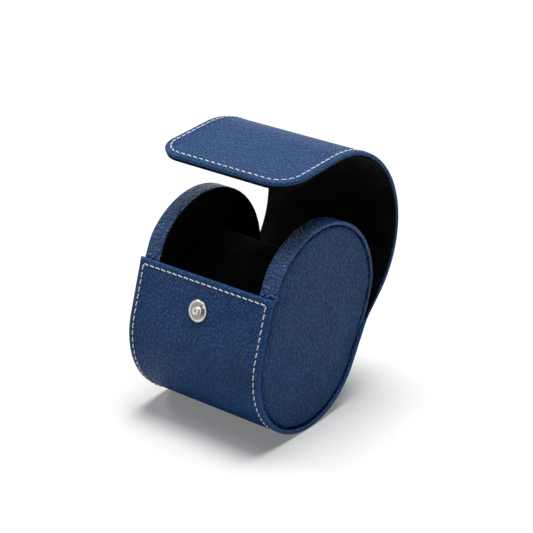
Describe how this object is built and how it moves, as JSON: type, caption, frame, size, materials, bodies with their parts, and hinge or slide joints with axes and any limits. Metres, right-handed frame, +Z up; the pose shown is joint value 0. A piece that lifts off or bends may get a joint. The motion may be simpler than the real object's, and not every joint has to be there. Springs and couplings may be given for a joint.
{
  "type": "leather watch travel case",
  "caption": "Snap-closed leather travel case for a wristwatch: a round-bottomed wrap between padded oval cheeks, a curved hinged lid with a snap flap, and a velvet pillow.",
  "frame": {"origin": "middle of the bottom of the open case's box, on the surface that it stands on", "axes": "+Z up, -Y towards the snap and the front, +X to the right seen from the front; the lid's bends turn about +X, forward when positive"},
  "size_m": [0.073, 0.101, 0.1216],
  "materials": {
    "leather": "navy blue pebbled grain, satin",
    "velvet": "black short-pile velvet",
    "board": "uncoated grey board",
    "foam": "open-cell foam",
    "snap_metal": "nickel plated, polished",
    "spring_wire": "drawn spring wire"
  },
  "bodies": {
    "case": {"body_leather": "leather", "body_board": "board", "body_lining": "velvet", "snap_stud": "snap_metal", "stud_eyelet": "snap_metal", "left_cheek_band": "leather", "left_cheek_board": "board", "left_cheek_lining": "velvet", "left_cheek_face": "leather", "left_cheek_pad": "foam", "right_cheek_band": "leather", "right_cheek_board": "board", "right_cheek_lining": "velvet", "right_cheek_face": "leather", "right_cheek_pad": "foam", "pillow_cover": "velvet", "pillow_core": "foam", "pillow_end_left": "velvet", "pillow_end_right": "velvet"},
    "hinge_strip": {"hinge_leather": "leather", "hinge_lining": "velvet"},
    "lid_back": {"lid_back_leather": "leather", "lid_back_board": "board", "lid_back_lining": "velvet"},
    "lid_front": {"lid_front_leather": "leather", "lid_front_board": "board", "lid_front_lining": "velvet"},
    "flap": {"flap_leather": "leather", "flap_board": "board", "flap_lining": "velvet", "snap_socket": "snap_metal", "socket_cap": "snap_metal", "socket_spring": "spring_wire"}
  },
  "joints": [
    {"name": "strip_bend", "type": "hinge", "parent": "case", "child": "hinge_strip", "pos_m": [0, 0.02806, 0.03716], "axis": [1, 0, 0], "range_deg": [-9.4, 8.9]},
    {"name": "lid_hinge", "type": "hinge", "parent": "hinge_strip", "child": "lid_back", "pos_m": [0, 0.03662, 0.04558], "axis": [1, 0, 0], "range_deg": [-30, 28.4]},
    {"name": "crown_bend", "type": "hinge", "parent": "lid_back", "child": "lid_front", "pos_m": [0, 0.03808, 0.10828], "axis": [1, 0, 0], "range_deg": [-6.54, 6.2]},
    {"name": "flap_bend", "type": "hinge", "parent": "lid_front", "child": "flap", "pos_m": [0, -0.01061, 0.12054], "axis": [1, 0, 0], "range_deg": [-15, 25]}
  ],
  "couplings": [
    {"joint": "strip_bend", "follows": "lid_hinge", "ratio": 0.30986},
    {"joint": "crown_bend", "follows": "lid_hinge", "ratio": 0.21479}
  ]
}
